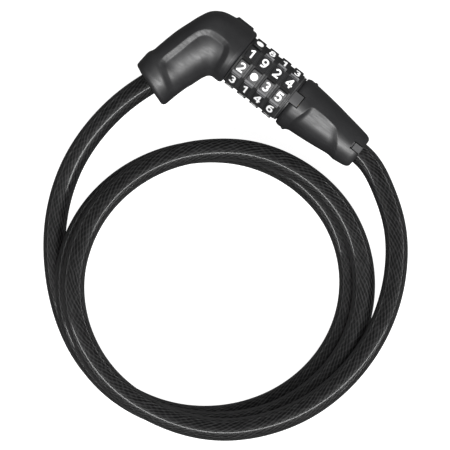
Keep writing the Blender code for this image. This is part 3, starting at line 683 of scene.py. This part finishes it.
# Which slots carry painted shade and which a painted highlight, counted from the index line
PAINTED_SHADE_SLOTS = [(0,), (), (0,), (0,)]
PAINTED_HIGHLIGHT_SLOTS = [(-1,), (-1, 1), (-1, 1), (-1, 1)]
numbers = []
dial_vertices, dial_faces = dial_mesh()
for i, x in enumerate(DIAL_X):
    body = f"dial_{i + 1}"
    made = piece(
        f"dial_{i + 1}_moulding",
        at(dial_vertices + np.array([x, 0, 0])),
        dial_faces,
        dial_plastic,
        body,
        [f"dial_{i + 1}"],
        smooth_by=28,
        extra=(groove_painted_highlight, groove_painted_shade, flange_plastic),
    )
    middle = at([[x, 0, 0]])[0]
    # The slots between the pads are moulded plastic; a few carry a painted highlight (a light finish) and a few painted
    # shade (a near-black finish), as the tables above say
    for face in made.data.polygons:
        c = Vector(face.center) - Vector(middle)
        r = math.hypot(c.y, c.z) * 1000
        turn = math.degrees(math.atan2(c.y, c.z) - ROLL)
        phi = turn % 36
        if abs(c.x) * 1000 > PAD_HALF and r > 13.9:
            face.material_index = 3
        elif r > 13.5:
            slot = round(turn / 36)
            dark, light = slot in PAINTED_SHADE_SLOTS[i], slot in PAINTED_HIGHLIGHT_SLOTS[i]
            if (dark or light) and min(phi, 36 - phi) * math.radians(1) * PAD_FLAT < SLOT_HALF + (0.03 if dark else 0.17):
                face.material_index = 2 if dark else 1
    vertices, faces = [], []
    for pad in range(10):
        number = (TOP_NUMBERS[i] + pad) % 10
        phi = math.radians(58 - 36 * pad)
        outline, polygons = glyphs[number]
        out = np.array([0, math.sin(phi), math.cos(phi)])
        side = np.array([0, math.cos(phi), -math.sin(phi)])
        start = sum(len(v) for v in vertices)
        for lift in (0.05, -0.06):
            vertices.append(
                np.array([x, 0, 0])
                + outline[:, :1] * np.array([1.0, 0, 0])
                + outline[:, 1:] * side
                + (PAD_FLAT + lift) * out
            )
        faces += [[start + k for k in f] for f in slab(outline, polygons)]
    numbers.append(piece(f"numbers_{i + 1}", at(np.concatenate(vertices)), faces, digit_paint, body, smooth_by=30))

# ---------------------------------------------------------------- elbow

# Across the elbow from its outer to its inner side: outer x, y, inner x, y, height
# above and below the axis, squareness
STATIONS = np.array([
    (-17.9, 15.7, -17.9, -15.7, 15.7, 15.7, 2.0),
    (-18.1, 16.15, -18.1, -16.15, 16.15, 16.15, 2.0),
    (-18.6, 16.6, -18.6, -16.6, 16.6, 16.6, 2.0),
    (-19.3, 16.93, -19.3, -16.93, 16.93, 16.93, 2.0),
    (-20.0, 17.0, -19.9, -17.0, 17.0, 17.0, 2.0),
    (-24.5, 17.0, -21.2, -17.0, 17.0, 17.0, 2.05),
    (-33.5, 16.6, -23.2, -17.0, 17.0, 17.4, 2.15),
    (-41.2, 14.6, -24.6, -17.4, 17.0, 17.6, 2.25),
    (-46.0, 11.0, -25.5, -18.0, 17.0, 17.6, 2.3),
    (-49.4, 4.8, -26.2, -18.8, 16.8, 17.6, 2.35),
    (-51.7, -1.6, -26.8, -19.9, 16.4, 17.5, 2.4),
    (-53.9, -7.9, -27.6, -21.6, 15.9, 17.3, 2.4),
    (-55.7, -14.8, -28.5, -24.3, 15.3, 16.9, 2.4),
    (-57.0, -20.9, -29.6, -27.6, 14.6, 16.0, 2.4),
    (-57.95, -25.2, -30.9, -30.9, 14.05, 15.0, 2.4),
    (-59.25, -27.7, -31.7, -33.7, 13.85, 14.3, 2.35),
    (-59.85, -32.2, -32.9, -38.4, 13.45, 13.65, 2.3),
    (-60.1, -36.4, -33.8, -42.6, 12.9, 13.0, 2.25),
    (-59.75, -37.6, -34.3, -44.7, 12.4, 12.4, 2.2),
    (-58.9, -38.25, -35.1, -45.7, 11.8, 11.8, 2.15),
    (-57.4, -38.8, -36.4, -46.1, 10.9, 10.9, 2.1),
])
WALL = 2.2


def finer(table, spacing):
    """The table read closer together, along a smooth curve through each column."""
    middle = np.concatenate([table[:, 0:2], table[:, 2:4]], axis=1)
    run = np.concatenate([[0], np.cumsum(np.linalg.norm(np.diff(middle, axis=0), axis=1) / math.sqrt(2))])
    slope = np.gradient(table, run, axis=0)
    # Columns keep their flats: no slope where the values turn or rest
    steps = np.diff(table, axis=0)
    for c in range(table.shape[1]):
        for i in range(1, len(table) - 1):
            if steps[i - 1, c] * steps[i, c] <= 0:
                slope[i, c] = 0
    rows = []
    for i in range(len(run) - 1):
        gap = run[i + 1] - run[i]
        count = max(2, int(math.ceil(gap / spacing)))
        for k in range(count):
            t = k / count
            h00, h10 = 2 * t**3 - 3 * t**2 + 1, t**3 - 2 * t**2 + t
            h01, h11 = -2 * t**3 + 3 * t**2, t**3 - t**2
            rows.append(h00 * table[i] + h10 * gap * slope[i] + h01 * table[i + 1] + h11 * gap * slope[i + 1])
    rows.append(table[-1])
    return np.array(rows)


PX = 0.55
RECESS = np.array([
    (-92, -49), (-91.6, -45), (-90.6, -41), (-87.5, -29), (-85, -17.5), (-82, -7.5), (-79.4, -3), (-76, 0.6),
    (-71, 3.5), (-66, 4.4), (-60, 4.7), (-54, 4.7), (-49.2, 3.7), (-46.0, 1.6), (-44.0, -1.6), (-42.3, -6.5), (-41.3, -11),
    (-40.8, -17.6), (-39.6, -25), (-36, -36), (-40, -60), (-50, -80.3), (-72, -66.4), (-84.2, -58.7), (-89, -55.6), (-91.4, -52.6),
]) * PX
ARM_END = np.array([(-105.6, -47), (-60.0, -70)]) * PX  # from here down the arm is thicker


def elbow_half(sign):
    table = finer(STATIONS, 0.55)
    count = 150
    split = 0.15
    outer, inner = [], []
    inset = 3.0 * ARM
    for row in table:
        ox, oy, ix, iy, up, down, square = row
        height = up if sign > 0 else down
        low = math.asin((split / height) ** (square / 2))
        theta = np.linspace(low, math.pi - low, count)
        middle = np.array([(ox + ix) / 2, (oy + iy) / 2])
        half = np.array([(ox - ix) / 2, (oy - iy) / 2])
        c = np.sign(np.cos(theta)) * np.abs(np.cos(theta)) ** (2 / square)
        lean = 0.20 * smoothstep((-26.0 - ox) / 24.0) if sign > 0 else 0.0
        c = c + lean * (1 - c * c)
        z = np.sin(theta) ** (2 / square) * height
        plan = middle + c[:, None] * half
        outer.append(np.column_stack([plan, z]))
        width = np.linalg.norm(half)
        thin = half * (width - WALL) / width
        h = height - WALL
        low = math.asin((split / h) ** (square / 2))
        theta = np.linspace(low, math.pi - low, count)
        c = np.sign(np.cos(theta)) * np.abs(np.cos(theta)) ** (2 / square)
        c = c + lean * (1 - c * c)
        z = np.sin(theta) ** (2 / square) * h
        inner.append(np.column_stack([middle + c[:, None] * thin, z]))
    outer, inner = np.array(outer), np.array(inner)
    # The face towards the dials is dished: its edge sits further back on top
    top = (outer[:, :, 2] / 17.0) ** 2
    reach = np.clip((-17.9 - outer[:, :, 0]) / 1.0, 0, 1)
    ease = np.clip(1 - (-18.8 - outer[:, :, 0]) / 3.0, 0, 1)
    outer[:, :, 0] -= 0.9 * top * reach * ease
    rows, columns = outer.shape[:2]
    flat = outer.reshape(-1, 3)
    plan, z = flat[:, :2], flat[:, 2]
    # Thicker end of the arm
    edge = ARM_END[1] - ARM_END[0]
    normal = np.array([edge[1], -edge[0]]) / np.linalg.norm(edge)
    beyond = (plan - ARM_END[0]) @ normal
    lift = smoothstep(beyond / 2.4) * 0.35 * np.clip((flat[:, 1] + 42) / 4.0, 0, 1)
    if sign > 0:
        # A sunk panel inside an even bevel with slightly rounded edges
        foot = smoothstep((-25.0 - flat[:, 1]) / 6.0)
        t = inside_distance(plan, RECESS) / (3.1 - 0.3 * foot)
        dip = (np.sqrt(t**2 + 0.003) - np.sqrt((t - 1) ** 2 + 0.003) + 1) / 2
        fade = smoothstep((z - 2.5) / 8.0)
        flat[:, 2] = z + (lift * (1 - dip) - (1.35 - 0.5 * foot) * dip) * fade
    else:
        flat[:, 2] = z + lift
    # Raised pad on the outer side
    x, z = flat[:, 0], flat[:, 2]
    mask = smoothstep((x + 32.9) / 0.7) * smoothstep((-21.2 - x) / 0.7) * smoothstep((5.0 - z) / 3.4)
    facing = flat[:, 1] > 8
    flat[:, 1] = np.where(facing, flat[:, 1] + (18.05 - flat[:, 1]) * mask, flat[:, 1])
    outer = flat.reshape(rows, columns, 3)
    # Insides: short of both end faces, then out through a round door at each
    for i in range(rows):
        inner[i, :, 0] = np.minimum(inner[i, :, 0], -20.2)
        past = (inner[i, :, :2] - ARM_EXIT[:2]) @ ARM[:2] - 3.0
        shift = np.where(past < 0, -past, 0.0)
        inner[i, :, :2] += shift[:, None] * ARM[:2]
    theta = np.linspace(0, math.pi, count)
    side = np.array([-ARM[1], ARM[0], 0.0])

    def cable_ring(radius, along):
        z = np.maximum(radius * np.sin(theta), split)
        return ARM_EXIT + along * ARM + radius * np.cos(theta)[:, None] * side + z[:, None] * np.array([0, 0, 1.0])

    def core_ring(radius, x):
        z = np.maximum(radius * np.sin(theta), split)
        return np.column_stack([np.full(count, x), radius * np.cos(theta), z])

    end = outer[-1]
    # The mouth for the cable: a rounded lip round it
    lip = [end * 0.75 + cable_ring(6.6, 0.0) * 0.25]
    loops = list(outer) + [
        end * 0.5 + cable_ring(8.2, 0.0) * 0.5,
        cable_ring(7.2, 0.0),
        cable_ring(6.85, 0.08),
        cable_ring(6.65, 0.35),
        cable_ring(6.6, 3.0),
    ]
    loops += list(inner[::-1]) + [core_ring(10.0, -20.2), core_ring(10.0, -17.9)]
    loops = np.array(loops)
    if sign < 0:
        loops[:, :, 2] = np.maximum(-loops[:, :, 2], -17.0)
    vertices = loops.reshape(-1, 3)
    total = len(loops)
    faces = rings_to_faces(total, count, close_rows=True, close_columns=False)
    # The flat rims along the split, between each outer ring and its inner one
    for column, flip in ((0, False), (count - 1, True)):
        rim = [i * count + column for i in range(total)]
        n = rows
        back = total - 1
        pairs = []
        out = list(range(0, n)) + [n, n + 1, n + 2, n + 3, n + 4]
        inn = [total - 1, total - 2] + list(range(total - 3, n + 4, -1))
        # walk both sides together
        a, b = 0, 0
        while a < len(out) - 1 or b < len(inn) - 1:
            fa, fb = a / (len(out) - 1), b / (len(inn) - 1)
            if a < len(out) - 1 and (fa <= fb or b == len(inn) - 1):
                tri = (rim[out[a]], rim[out[a + 1]], rim[inn[b]])
                a += 1
            else:
                tri = (rim[out[a]], rim[inn[b + 1]], rim[inn[b]])
                b += 1
            if len(set(tri)) == 3:
                pairs.append(tri[::-1] if flip else tri)
        faces += pairs
    return at(vertices), faces


for name, sign in (("elbow_front_shell", 1), ("elbow_back_shell", -1)):
    vertices, faces = elbow_half(sign)
    made = piece(name.replace("_shell", "_moulding"), vertices, faces, housing, "lock_body", [name], smooth_by=38)
    open_edges(made)

# ---------------------------------------------------------------- plug

SLEEVE = [
    (19.0, 12.1), (19.0, 14.5), (20.1, 15.25), (23.7, 15.3), (28.6, 14.95), (35.8, 14.3), (42.6, 13.6),
    (49.5, 12.6), (56.4, 11.7), (63.2, 10.7), (65.6, 9.6), (66.3, 8.3), (66.3, 6.6), (60.2, 6.6),
    (60.2, 9.2), (49.0, 9.7), (39.0, 12.1),
]
# Where the grip's two end walls start, going down from the top: y, then x
GRIP_NEAR = np.array([(6.0, 55.8), (4, 54.2), (1, 53), (-3, 52), (-8, 50.5), (-13, 49), (-20, 47.6), (-26, 46.6)]) * PX
GRIP_FAR = np.array([(6.3, 81), (5.2, 85), (3.4, 88), (0.5, 91), (-4, 95), (-10, 98.8), (-15, 101.2), (-20, 103), (-26, 104.5)]) * PX


def sleeve_mesh():
    outer = spline([(19.9, 15.1), (20.4, 15.3), (23.7, 15.35), (28.6, 14.95), (35.8, 14.3), (42.6, 13.55), (49.5, 12.6), (56.4, 11.7), (63.2, 10.7)], 20)
    outer, _ = evenly(outer, 170)
    nose = [(64.6, 10.25), (65.4, 9.75), (65.95, 9.15), (66.25, 8.5), (66.3, 7.8), (66.3, 7.1), (66.1, 6.75), (65.7, 6.6)]
    front = [(19.0, 12.3), (19.0, 14.2), (19.05, 14.5), (19.3, 14.8)]
    inside = [(60.2, 6.6), (60.2, 9.2), (49.0, 9.7), (39.0, 12.1), (19.2, 12.1)]
    profile = front + [tuple(p) for p in outer] + nose + inside
    return lathe(profile, 320)


def soft_least(a, b, size):
    """The lesser of two, with the corner between them rounded."""
    h = np.clip(0.5 + 0.5 * (b - a) / size, 0, 1)
    return b + (a - b) * h - size * h * (1 - h)


vertices, faces = sleeve_mesh()
# The grip: a finger scoop, flat below a crisp top edge and then following the sleeve
# round its lower side, with a steep wall at the near end and an easy one at the far end
x, y, z = vertices[:, 0], vertices[:, 1], vertices[:, 2]
radius, turn = np.hypot(y, z), np.arctan2(y, z)
barrel = np.interp(x, [19.9, 23.7, 28.6, 35.8, 42.6, 49.5, 56.4, 63.2], [15.1, 15.35, 14.95, 14.3, 13.55, 12.6, 11.7, 10.7])
sunk = 1.5 - (0.5 - 0.5 * smoothstep((x - 38.0) / 15.0)) * smoothstep((-0.9 - turn) / 0.65)
sunk = np.where(turn > 1.6, 0.0, sunk)
START = math.radians(-12.4)
sunk = (sunk - 0.5 * smoothstep((x - 38.0) / 15.0)) * (1 - smoothstep((-1.7 - turn) / 0.7))
floor_depth = barrel - (barrel - sunk) / np.cos(np.clip(turn - START, 0, 1.2))
near = (x - np.interp(y, GRIP_NEAR[::-1, 0], GRIP_NEAR[::-1, 1])) * 0.62
far = (np.interp(y, GRIP_FAR[::-1, 0], GRIP_FAR[::-1, 1]) - x) * 0.25
depth = soft_least(soft_least(floor_depth, near, 0.8), far, 0.4)
depth = -soft_least(-depth, np.zeros(len(depth)), 0.12)
on_skin = (radius > barrel - 0.4) & (x > 22.5) & (x < 59.5)
scale = np.where(on_skin, (radius - np.maximum(depth, 0.0)) / radius, 1.0)
vertices[:, 1] *= scale
vertices[:, 2] *= scale
sleeve = piece("plug_sleeve_moulding", at(vertices), faces, housing, "plug", ["plug_sleeve"], smooth_by=38)
TAB_HALF = 7.15 / 2
carve(
    sleeve,
    [
        ("notch_cutter", *box_mesh((17.0, -TAB_HALF - 0.42, 9.0), (24.15, TAB_HALF + 0.37, 19.0), ROLL)),
        ("window_cutter", *box_mesh((60.0, -1.6, 7.4), (68.0, 3.25, 14.0))),
    ],
    38,
)

# Two nubs on the sides of the sleeve, to grip it by
for side in (1, -1):
    profile = [(0.0, 0.8), (0.5, 0.72), (0.9, 0.35), (1.0, -0.3)]
    vertices, faces = [], []
    rings = []
    for reach, lift in ((1.3, -0.6), (1.25, 0.0), (0.95, 0.42), (0.5, 0.68), (0.0, 0.78)):
        ring = [
            (24.4 + reach * 0.95 * math.cos(a), side * (15.2 + lift), reach * 1.7 * math.sin(a))
            for a in np.arange(24) * 2 * math.pi / 24
        ]
        rings.append(ring)
    vertices = np.array(rings).reshape(-1, 3)
    faces = rings_to_faces(5, 24, close_rows=False)
    faces += [tuple(range(24))]
    piece(f"plug_nub_{'top' if side > 0 else 'bottom'}", at(vertices), faces, housing, "plug", smooth_by=50)

# ---------------------------------------------------------------- index collar, washer

ring_profile = rounded(
    [(17.53, 8.3), (17.53, 13.9), (17.66, 13.9), (17.66, 14.25), (18.5, 14.25), (18.5, 13.3), (18.96, 13.3), (18.96, 8.3)], 0.06, 2
)
vertices, faces = lathe(ring_profile, 160)
piece("index_collar_moulding", at(vertices), faces, housing, "lock_body", ["index_collar"], smooth_by=40)


def tab_mesh():
    """The index tab: a block with a crowned top and rounded edges."""
    x0, x1, top, low = 17.62, 23.65, 14.95, 11.9
    xs = sorted({x0, x0 + 0.05, x0 + 0.15, x0 + 0.3, *np.linspace(x0 + 0.5, x1 - 0.5, 8), x1 - 0.3, x1 - 0.15, x1 - 0.05, x1})
    ys = sorted({-TAB_HALF, -TAB_HALF + 0.05, -TAB_HALF + 0.15, -TAB_HALF + 0.3, *np.linspace(-TAB_HALF + 0.5, TAB_HALF - 0.5, 10), TAB_HALF - 0.3, TAB_HALF - 0.15, TAB_HALF - 0.05, TAB_HALF})
    vertices = []
    for x in xs:
        for y in ys:
            inset = min(x - x0, x1 - x, TAB_HALF - abs(y))
            rim = 0.3 * (1 - math.sqrt(max(0.0, 1 - (1 - min(1.0, inset / 0.3)) ** 2)))
            z = math.sqrt(top**2 - y * y) - rim
            vertices.append((x, y, z))
    n, m = len(xs), len(ys)
    for x in xs:
        for y in ys:
            vertices.append((x, y, low))
    faces = rings_to_faces(n, m, False, False)
    faces += [tuple(i + n * m for i in f[::-1]) for f in rings_to_faces(n, m, False, False)]
    border = [k for k in range(m)] + [i * m + m - 1 for i in range(1, n)] + [(n - 1) * m + k for k in range(m - 2, -1, -1)] + [i * m for i in range(n - 2, 0, -1)]
    for a, b in zip(border, border[1:] + border[:1]):
        faces.append((a, b, b + n * m, a + n * m))
    v = np.array(vertices)
    y, z = v[:, 1].copy(), v[:, 2].copy()
    c, s = math.cos(ROLL), math.sin(ROLL)
    v[:, 1], v[:, 2] = y * c + z * s, -y * s + z * c
    return v, faces


vertices, faces = tab_mesh()
piece("index_tab", at(vertices), faces, index_plastic, "lock_body", smooth_by=40)

vertices, faces = lathe(rounded([(16.95, 8.3), (16.95, 14.3), (17.5, 14.3), (17.5, 8.3)], 0.08, 2), 160)
piece("end_washer_turned", at(vertices), faces, washer_nickel, "lock_body", ["end_washer"], smooth_by=40)

# ---------------------------------------------------------------- finishes on the CAD nodes that stay

FINISH = {
    "elbow_block": zinc, "core_tube": steel, "core_pin": bright_steel, "ferrule_elbow": steel,
    "ferrule_pin_elbow": bright_steel, "detent_leaf": bright_steel, "ejector_spring": bright_steel,
    "retaining_ring": bright_steel, "reset_sleeve": dark_brass, "plug_insert": zinc, "locking_bolt": steel,
    "bolt_pin": bright_steel, "ferrule_plug": steel, "ferrule_pin_plug": bright_steel,
    "code_ring_1": brass, "code_ring_2": brass, "code_ring_3": brass, "code_ring_4": brass,
}
for name, finish in FINISH.items():
    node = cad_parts[name]
    for slot in node.material_slots:
        slot.material = finish
    if not node.material_slots:
        node.data.materials.append(finish)

# ---------------------------------------------------------------- floor, lights, camera

floor_mesh = bpy.data.meshes.new("floor")
floor_mesh.from_pydata([(-3, -3, -0.0005), (3, -3, -0.0005), (3, 3, -0.0005), (-3, 3, -0.0005)], [], [(0, 1, 2, 3)])
floor = bpy.data.objects.new("floor", floor_mesh)
bpy.context.scene.collection.objects.link(floor)
paper = Nodes("floor_paper")
grain = paper.noise(paper.place(), 900.0, 2.0, 0.5)
paper.feed(Base_Color=(0.45, 0.45, 0.45, 1.0), Roughness=0.9, Normal=paper.bump(grain, 0.1, 0.0001))
paper.feed(Emission_Color=(1.0, 1.0, 1.0, 1.0), Emission_Strength=0.97)
# The black object is flagged off from the floor's glare: it mirrors a darker sheet
flag = paper.add("ShaderNodeBsdfDiffuse", {"Color": (0.10, 0.10, 0.10, 1.0)})
seen = paper.add("ShaderNodeLightPath").outputs["Is Camera Ray"]
mix = paper.add("ShaderNodeMixShader", {"Fac": seen})
paper.tree.links.new(flag.outputs[0], mix.inputs[1])
paper.tree.links.new(paper.shader.outputs[0], mix.inputs[2])
paper.tree.links.new(mix.outputs[0], paper.tree.nodes["Material Output"].inputs["Surface"])
floor_mesh.materials.append(paper.material)

CENTRE = Vector((0.0295, -0.0628, 0.015))  # what the middle of the picture looks at
RIGHT = Vector((0.7859, 0.6184, 0.0))
UP = Vector((-0.6184, 0.7859, 0.0))


def softbox(name, across, along, distance, width, depth, power):
    """A rectangle of light, tilted from straight overhead by two angles in the picture's frame."""
    direction = (
        Vector((0, 0, 1)) + math.tan(math.radians(across)) * RIGHT + math.tan(math.radians(along)) * UP
    ).normalized()
    light = bpy.data.lights.new(name, "AREA")
    light.shape = "RECTANGLE"
    light.size, light.size_y = width, depth
    light.energy = power
    made = bpy.data.objects.new(name, light)
    made.location = CENTRE + direction * distance
    made.rotation_euler = (-direction).to_track_quat("-Z", "Y").to_euler()
    bpy.context.scene.collection.objects.link(made)
    return made


def only_on(light, things, kept=True):
    """Keep a light to some objects, or keep it off them."""
    group = bpy.data.collections.new(light.name + "_receivers")
    for thing in things:
        group.objects.link(thing)
    for member in group.collection_objects:
        member.light_linking.link_state = "INCLUDE" if kept else "EXCLUDE"
    light.light_linking.receiver_collection = group


only_on(softbox("key", 0, -29, 1.6, 0.9, 0.66, 36), [cable], kept=False)
# The cable gets its light from the same side in two parts: a soft one, and a long bar
# that only its gloss sees, which draws a thin line round most of the coil
soft_part = softbox("key_cable", 0, -32, 1.6, 0.9, 0.24, 17)
soft_part.visible_glossy = False
only_on(soft_part, [cable])
bar = softbox("bar_cable", 0, -32, 1.54, 5.6, 0.22, 100)
bar.visible_diffuse = False
only_on(bar, [cable])
# A soft fill over the dials' far side. It is kept out of the gloss, as a polarised
# studio lamp is, so that it lifts the white numbers and leaves the black plastic black
fill = softbox("fill", 44.7, 51.5, 2.0, 1.4, 1.4, 24)
fill.visible_glossy = False
only_on(softbox("fill_numbers", 44.7, 51.5, 2.0, 1.4, 1.4, 26), numbers)

# Low strip lights, kept to the cable alone: they draw the thin lines down its glossy sides
for name, across, along, power in (
    ("strip_left", -76, 0, 5), ("strip_right", 72, 0, 8), ("strip_near", 0, -83, 2), ("strip_far", 0, 83, 2)
):
    strip = softbox(name, across, along, 1.3, 2.6, 0.05, power)
    strip.visible_diffuse = False
    only_on(strip, [cable])

world = bpy.data.worlds.new("studio")
world.use_nodes = True
sky = world.node_tree
background = sky.nodes["Background"]
background.inputs["Color"].default_value = (1, 1, 1, 1)
view_ray = sky.nodes.new("ShaderNodeLightPath").outputs["Is Camera Ray"]
level = sky.nodes.new("ShaderNodeMapRange")
sky.links.new(view_ray, level.inputs["Value"])
level.inputs["To Min"].default_value = 0.12
level.inputs["To Max"].default_value = 0.95
sky.links.new(level.outputs["Result"], background.inputs["Strength"])
bpy.context.scene.world = world
bpy.context.scene.view_settings.view_transform = "Standard"

lens = bpy.data.cameras.new("camera")
lens.lens, lens.sensor_width = 200.0, 36.0
lens.clip_start, lens.clip_end = 0.05, 20.0
camera = bpy.data.objects.new("camera", lens)
camera.location = (CENTRE.x, CENTRE.y, 0.020 + 0.2475 * 200.0 / 36.0)
camera.rotation_euler = (0.0, 0.0, math.radians(38.2))
bpy.context.scene.collection.objects.link(camera)
bpy.context.scene.camera = camera

bpy.context.view_layer.update()
